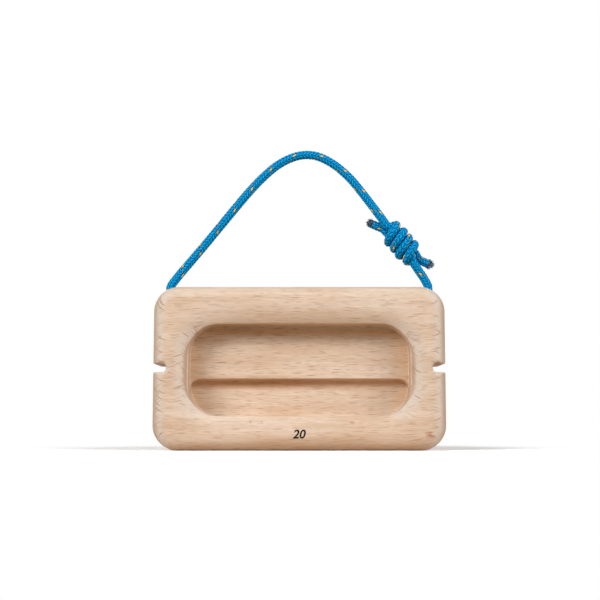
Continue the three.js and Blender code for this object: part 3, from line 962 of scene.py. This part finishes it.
def beech_colour(tree, shader):
    """Rings, mottling, fibres and rays of beech, in millimetres of the block's own space."""
    place = add(tree, "ShaderNodeTexCoord", out="Object")
    mm = add(tree, VECTOR, {0: place, "Scale": 1 / MM}, **SCALE)
    drift = add(tree, NOISE, {"Vector": mm, "Scale": 1 / DRIFT_WAVE, "Detail": 1.0}, out="Color")
    drift = add(tree, VECTOR, {0: drift, 1: (0.5, 0.5, 0.5)}, **LESS)
    drift = add(tree, VECTOR, {0: drift, "Scale": DRIFT_MM}, **SCALE)
    mm = add(tree, VECTOR, {0: mm, 1: drift}, **PLUS)
    sheets = {}
    for name, (lean, *_) in RAYS.items():
        ways = {
            "X": (1, 0, 0),
            "Y": (0, math.cos(lean), math.sin(lean)),
            "Z": (0, -math.sin(lean), math.cos(lean)),
        }
        parts = {
            axis: add(tree, VECTOR, {0: mm, 1: way}, operation="DOT_PRODUCT", out="Value")
            for axis, way in ways.items()
        }
        sheets[name] = add(tree, "ShaderNodeCombineXYZ", parts)
    layers = {}
    for name, size in GRAIN_SIZES.items():
        scaled = {0: sheets["leaning_back"], 1: tuple(1 / v for v in size)}
        scaled = add(tree, VECTOR, scaled, **TIMES)
        layers[name] = add(tree, NOISE, {"Vector": scaled, "Scale": 1.0, "Detail": 2.0})
    fibres = layers["fibres"]
    warmth = add(tree, MATH, {0: layers["rings"], 1: 0.55}, **TIMES)
    warmth = add(tree, MATH, {0: layers["patches"], 1: 0.45, 2: warmth}, **TIMES_PLUS)
    tone = add(
        tree, RAMP, {"Fac": warmth}, stops=[(0.3, "#E9D7C4"), (0.72, "#D3B395"), (0.5, "#DFC8B2")]
    )
    fibre_tone = add(tree, RANGE, {"Value": fibres, 1: 0.3, 2: 0.7, 3: 0.93, 4: 1.07})
    tone = add(tree, VECTOR, {0: tone, "Scale": fibre_tone}, **SCALE)

    # Where the surface cuts across the grain it is paler and greyer
    steep = add(tree, ATTRIBUTE, attribute_name="end_cut", out="Fac")
    cut = add(tree, RANGE, {"Value": steep, 1: 0.05, 2: 0.42, 3: 0.0, 4: 0.72}, **SMOOTH)
    tone = add(tree, MIX, {0: cut, 6: tone, 7: linear("#E0D5CA")}, **TINT)
    # Square to the grain it drinks more light and is browner. This browning is also painted shade
    #     # on the surfaces that face left and right, the block's outer edges and the pocket's ends
    square = add(tree, RANGE, {"Value": steep, 1: 0.48, 2: 0.95, 3: 0.0, 4: 0.7}, **SMOOTH)
    tone = add(tree, MIX, {0: square, 6: tone, 7: linear("#B4926F")}, **TINT)

    # Pin knots, ragged and stretched along the grain
    for (across, up), (wide, high), share in PIN_KNOTS:
        spot = add(
            tree,
            VECTOR,
            {0: mm, 1: (1 / wide, 0, 1 / high), 2: (-across / wide, 0, -up / high)},
            **TIMES_PLUS,
        )
        spot = add(tree, VECTOR, {0: spot}, operation="LENGTH", out="Value")
        spot = add(tree, MATH, {0: fibres, 1: 2.0, 2: spot}, **TIMES_PLUS)
        spot = add(tree, RANGE, {"Value": spot, 1: 1.0, 2: 2.0, 3: share, 4: 0.0})
        tone = add(tree, MIX, {0: spot, 6: tone, 7: linear("#A8623F")}, **TINT)

    # Rays, which show most on the rounds and hardly where the surface runs along them
    depth = add(tree, MATH, {0: fibres, 1: 0.4}, **TIMES)
    for name, (_, spacing, fill, strength, seed, on_ends) in RAYS.items():
        facing = add(tree, ATTRIBUTE, attribute_name=name, out="Fac")
        faint = add(tree, RANGE, {"Value": facing, 1: 0.86, 2: 0.98, 3: 1.0, 4: 0.15}, **SMOOTH)
        plain = add(tree, MATH, {0: cut, 1: 0.9, 2: 1.0}, **TIMES_PLUS)
        plain = add(tree, MATH, {0: plain, 1: faint}, **TIMES)
        at_ends = add(tree, RANGE, {"Value": steep, 1: 0.6, 2: 0.93, 3: 1.0, 4: on_ends}, **SMOOTH)
        plain = add(tree, MATH, {0: plain, 1: at_ends}, **TIMES)
        scaled = add(
            tree,
            VECTOR,
            {0: sheets[name], 1: tuple(1 / v for v in spacing), 2: (seed, seed, seed)},
            **TIMES_PLUS,
        )
        cells = add(tree, "ShaderNodeTexVoronoi", {"Vector": scaled, "Scale": 1.0}, out=None)
        mask = {"Value": cells.outputs["Distance"], 1: fill, 2: fill * RAY_FADES}
        mask = add(tree, RANGE, mask, **SMOOTH)
        chance = add(tree, "ShaderNodeSeparateXYZ", {0: cells.outputs["Color"]}, out="X")
        weight = add(tree, RANGE, {"Value": chance, 1: 0.3, 2: 1.0, 3: 0.1, 4: strength})
        weight = add(tree, MATH, {0: weight, 1: plain}, **TIMES)
        mask = add(tree, MATH, {0: mask, 1: weight}, **TIMES)
        tone = add(tree, MIX, {0: mask, 6: tone, 7: linear("#A9784F")}, **TINT)
        depth = add(tree, MATH, {0: depth, 1: mask}, **PLUS)

    # Painted shade, first warmer then darker, below the pocket's roof and ledge and at its ends
    painted_shade = add(tree, ATTRIBUTE, attribute_name="painted_shade", out="Fac")
    shade_tint = add(
        tree, RAMP, {"Fac": painted_shade}, stops=[(0.0, "#FFFFFF"), (1.0, "#E7DFD3"), (0.5, "#FDEEDD")]
    )
    tone = add(tree, VECTOR, {0: tone, 1: shade_tint}, **TIMES)
    tree.links.new(tone, shader.inputs["Base Color"])
    bump = add(tree, "ShaderNodeBump", {"Height": depth, "Strength": 0.25, "Distance": -0.00006})
    tree.links.new(bump, shader.inputs["Normal"])
    rough = add(tree, RANGE, {"Value": fibres, 1: 0.3, 2: 0.7, 3: 0.54, 4: 0.68})
    tree.links.new(rough, shader.inputs["Roughness"])


beech_colour(*start_material(beech, {"IOR": 1.45, "Specular IOR Level": 0.1}))


# Polyamide yarns, dyed blue, with one yarn of yellow tracer. Their colour holds painted light: a
# painted highlight where a yarn lies on top and painted shade of deep blue in the gaps between
# yarns, with the soft shine of bundled filaments
FILAMENTS_SHOWN = 5
# Painted shade: brightness of a yarn's colour where it goes under, as a share of that at its height
END_SHADE = 0.12
# How high the tracer has to stand to show its own colour; lower, it is painted in shade
TRACER_SHOWS = 0.72


def braided_colour(tree, shader):
    """Colour, filaments and tracer of the sheath, from each point's place on the braid."""
    place = add(tree, ATTRIBUTE, attribute_name="braid", out="Vector")
    split = add(tree, "ShaderNodeSeparateXYZ", {0: place}, out=None)
    angle = add(tree, MATH, {0: split.outputs["Y"], 1: split.outputs["X"]}, operation="ARCTAN2")
    turn = add(tree, MATH, {0: angle, 1: 2 * math.pi}, operation="DIVIDE")
    one, other, swing = braid_heights(tree, turn, split.outputs["Z"])
    one_on_top = add(tree, MATH, {0: one["height"], 1: other["height"]}, operation="GREATER_THAN")
    across = add(tree, MIX, {0: one_on_top, 2: other["place"], 3: one["place"]}, data_type="FLOAT")
    squared = add(tree, MATH, {0: across, 1: across}, **TIMES)
    ridge = add(tree, MATH, {0: 1.0, 1: squared}, **LESS)
    # Painted light: bright on a yarn's crown where it lies on top, dark in gaps and where it dives
    swing = add(tree, MATH, {0: swing}, operation="ABSOLUTE")
    risen = add(tree, RANGE, {"Value": swing, 1: 0.0, 2: 0.7, 3: END_SHADE, 4: 1.0})
    level = add(tree, MATH, {0: ridge, 1: risen}, **TIMES)
    blue = add(
        tree, RAMP, {"Fac": level}, stops=[(0.04, "#001C5C"), (1.0, "#10BAF2"), (0.46, "#0060B2")]
    )
    # The tracer too: a painted highlight in its middle and painted shade at its ends
    shown = add(tree, RANGE, {"Value": swing, 1: TRACER_SHOWS, 2: 0.96})
    shown = add(tree, MATH, {0: ridge, 1: shown}, **TIMES)
    yellow = add(
        tree, RAMP, {"Fac": shown}, stops=[(0.0, "#0E2430"), (0.65, "#EADB80"), (0.3, "#A08838")]
    )
    yarn = add(tree, MATH, {0: one["count"]}, operation="FLOOR")
    yarn = add(tree, MATH, {0: yarn, 1: YARNS_EACH_WAY}, operation="FLOORED_MODULO")
    tracer = add(tree, MATH, {0: yarn, 1: 0.5}, operation="LESS_THAN")
    tracer = add(tree, MATH, {0: tracer, 1: one_on_top}, **TIMES)
    tone = add(tree, MIX, {0: tracer, 6: blue, 7: yellow}, **TINT)
    wave = add(tree, MATH, {0: across, 1: math.pi * FILAMENTS_SHOWN}, **TIMES)
    wave = add(tree, MATH, {0: wave}, operation="COSINE")
    streak = add(tree, RANGE, {"Value": wave, 1: -1.0, 2: 1.0, 3: 0.86, 4: 1.08})
    tone = add(tree, VECTOR, {0: tone, "Scale": streak}, **SCALE)
    tree.links.new(tone, shader.inputs["Base Color"])
    bump = add(tree, "ShaderNodeBump", {"Height": wave, "Strength": 0.3, "Distance": 0.00004})
    tree.links.new(bump, shader.inputs["Normal"])


shine = {"Roughness": 0.42, "IOR": 1.53, "Specular IOR Level": 0.03}
sheen = {"Sheen Weight": 0.01, "Sheen Roughness": 0.4}
braided_colour(*start_material(polyamide, {**shine, **sheen}))

# The other finishes are stained by noise: stains to the metre, their detail, their colours,
# roughness and IOR
for material, often, detail, colours, rough, ior in (
    # Melted polyamide: nearly black, smooth and wet-looking, with stains of blue-green dye
    (melted, 420, 3.0, [(0.42, "#07142A"), (0.7, "#2E9C98"), (0.54, "#0B3C66")], 0.32, 1.53),
    # Loose filaments, some scorched and some bleached by the flame
    (loose, 900, 2.0, [(0.42, "#0B2440"), (0.68, "#B8D8DE"), (0.55, "#1E6C9A")], 0.5, 1.53),
    # Burnt beech: char, browner and thinner where the iron pressed less
    (burnt, 900, 3.0, [(0.5, "#0E0705"), (0.8, "#4A2E1C")], 0.85, 1.5),
):
    tree, shader = start_material(material, {"Roughness": rough, "IOR": ior})
    place = add(tree, "ShaderNodeTexCoord", out="Object")
    stain = add(tree, NOISE, {"Vector": place, "Scale": often, "Detail": detail})
    stain = add(tree, RAMP, {"Fac": stain}, stops=colours)
    tree.links.new(stain, shader.inputs["Base Color"])

# Floor, light and backdrop. The floor's half width is in metres
FLOOR_HALF = 4
# Between these distances from the block, in metres, the floor's shadow fades to plain white
SHADOW_ROOM = (0.1, 0.17)
# What the white paper is brighter than its lit level, so that only its shadow shows
PAPER_LIFT = 0.1
# The light that the paper gives back is a little warm, and so is the room's faint own light
PAPER_TINT = "#EAD8C6"
ROOM_TINT = "#FFDCBE"
ROOM_LIGHT = 0.024


def straight_rays(tree):
    """1 for the rays that show the backdrop: the camera's, and what a shine or glass sends on."""
    path = add(tree, "ShaderNodeLightPath", out=None).outputs
    straight = path["Is Camera Ray"]
    for kind in ("Is Glossy Ray", "Is Transmission Ray"):
        straight = add(tree, MATH, {0: straight, 1: path[kind]}, operation="MAXIMUM")
    return straight


floor_mesh = bpy.data.meshes.new("floor")
corners = ((-1, -1), (1, -1), (1, 1), (-1, 1))
floor_corners = [(x * FLOOR_HALF, y * FLOOR_HALF, 0) for x, y in corners]
floor_mesh.from_pydata(floor_corners, [], [(0, 1, 2, 3)])
floor_white = bpy.data.materials.new("matt_white_paper")
tree = empty_tree(floor_white)
looked_at = straight_rays(tree)
place = add(tree, "ShaderNodeTexCoord", out="Object")
far_off = add(tree, VECTOR, {0: place}, operation="LENGTH", out="Value")
glowing = add(tree, RANGE, {"Value": far_off, 1: SHADOW_ROOM[0], 2: SHADOW_ROOM[1]}, **SMOOTH)
share = add(tree, MATH, {0: looked_at, 1: glowing}, **TIMES)
tint = add(tree, MIX, {0: looked_at, 6: linear(PAPER_TINT), 7: linear("#FFFFFF")}, **TINT)
paper = add(tree, "ShaderNodeBsdfDiffuse", {"Color": tint, "Roughness": 0.9})
lift = add(tree, MATH, {0: looked_at, 1: PAPER_LIFT}, **TIMES)
lift = add(tree, "ShaderNodeEmission", {"Color": (1, 1, 1, 1), "Strength": lift})
paper = add(tree, "ShaderNodeAddShader", {0: paper, 1: lift})
glow = add(tree, "ShaderNodeEmission", {"Color": (1, 1, 1, 1), "Strength": 1.0})
mix = add(tree, "ShaderNodeMixShader", {0: share, 1: paper, 2: glow})
add(tree, "ShaderNodeOutputMaterial", {"Surface": mix}, out=None)
floor = put_in_scene("floor", floor_mesh, floor_white)

world = bpy.data.worlds.new("studio")
bpy.context.scene.world = world
tree = empty_tree(world)
around = add(tree, "ShaderNodeBackground", {"Color": linear(ROOM_TINT), "Strength": ROOM_LIGHT})
seen = add(tree, "ShaderNodeBackground", {"Color": (1, 1, 1, 1), "Strength": 1.0})
looked_at = straight_rays(tree)
mix = add(tree, "ShaderNodeMixShader", {0: looked_at, 1: around, 2: seen})
add(tree, "ShaderNodeOutputWorld", {"Surface": mix}, out=None)

# Lamps: name, direction from where they aim as degrees round to the right and up, distance in
# metres, size and power
LAMPS_AIM = (0, 0, 0.05)
LAMPS = [
    ("left", (-48, 27.5), 2.0, (0.9, 0.7), 28),
    ("right", (56, 27.5), 2.0, (1.1, 0.7), 24.5),
    ("top", (-8, 40), 2.0, (1.6, 0.6), 3.5),
    ("back", (176, 14), 2.0, (1.4, 0.8), 10),
]
for name, (round_it, up), far, size, power in LAMPS:
    data = bpy.data.lights.new(name, "AREA")
    data.shape = "RECTANGLE"
    data.size, data.size_y = size
    data.energy = power
    lamp = put_in_scene(name, data)
    a, e = math.radians(round_it), math.radians(up)
    way = Vector((math.sin(a) * math.cos(e), -math.cos(a) * math.cos(e), math.sin(e)))
    lamp.location = Vector(LAMPS_AIM) + way * far
    lamp.rotation_euler = way.to_track_quat("Z", "Y").to_euler()

bpy.context.scene.view_settings.view_transform = "Standard"

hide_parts("board")
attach(board, "block")
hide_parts("cord_run")
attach(held_cord, "block")
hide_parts("cord_arch", "knot_lower_half")
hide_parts("cord_leg", "knot_upper_half")
for piece in (loop_left, loop_right):
    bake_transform(piece)
for place, tip in tips.items():
    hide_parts("sealed_tip_" + place)
    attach(tip, "cord_loop")
    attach(frays[place], "cord_loop")
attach(mark, "block")
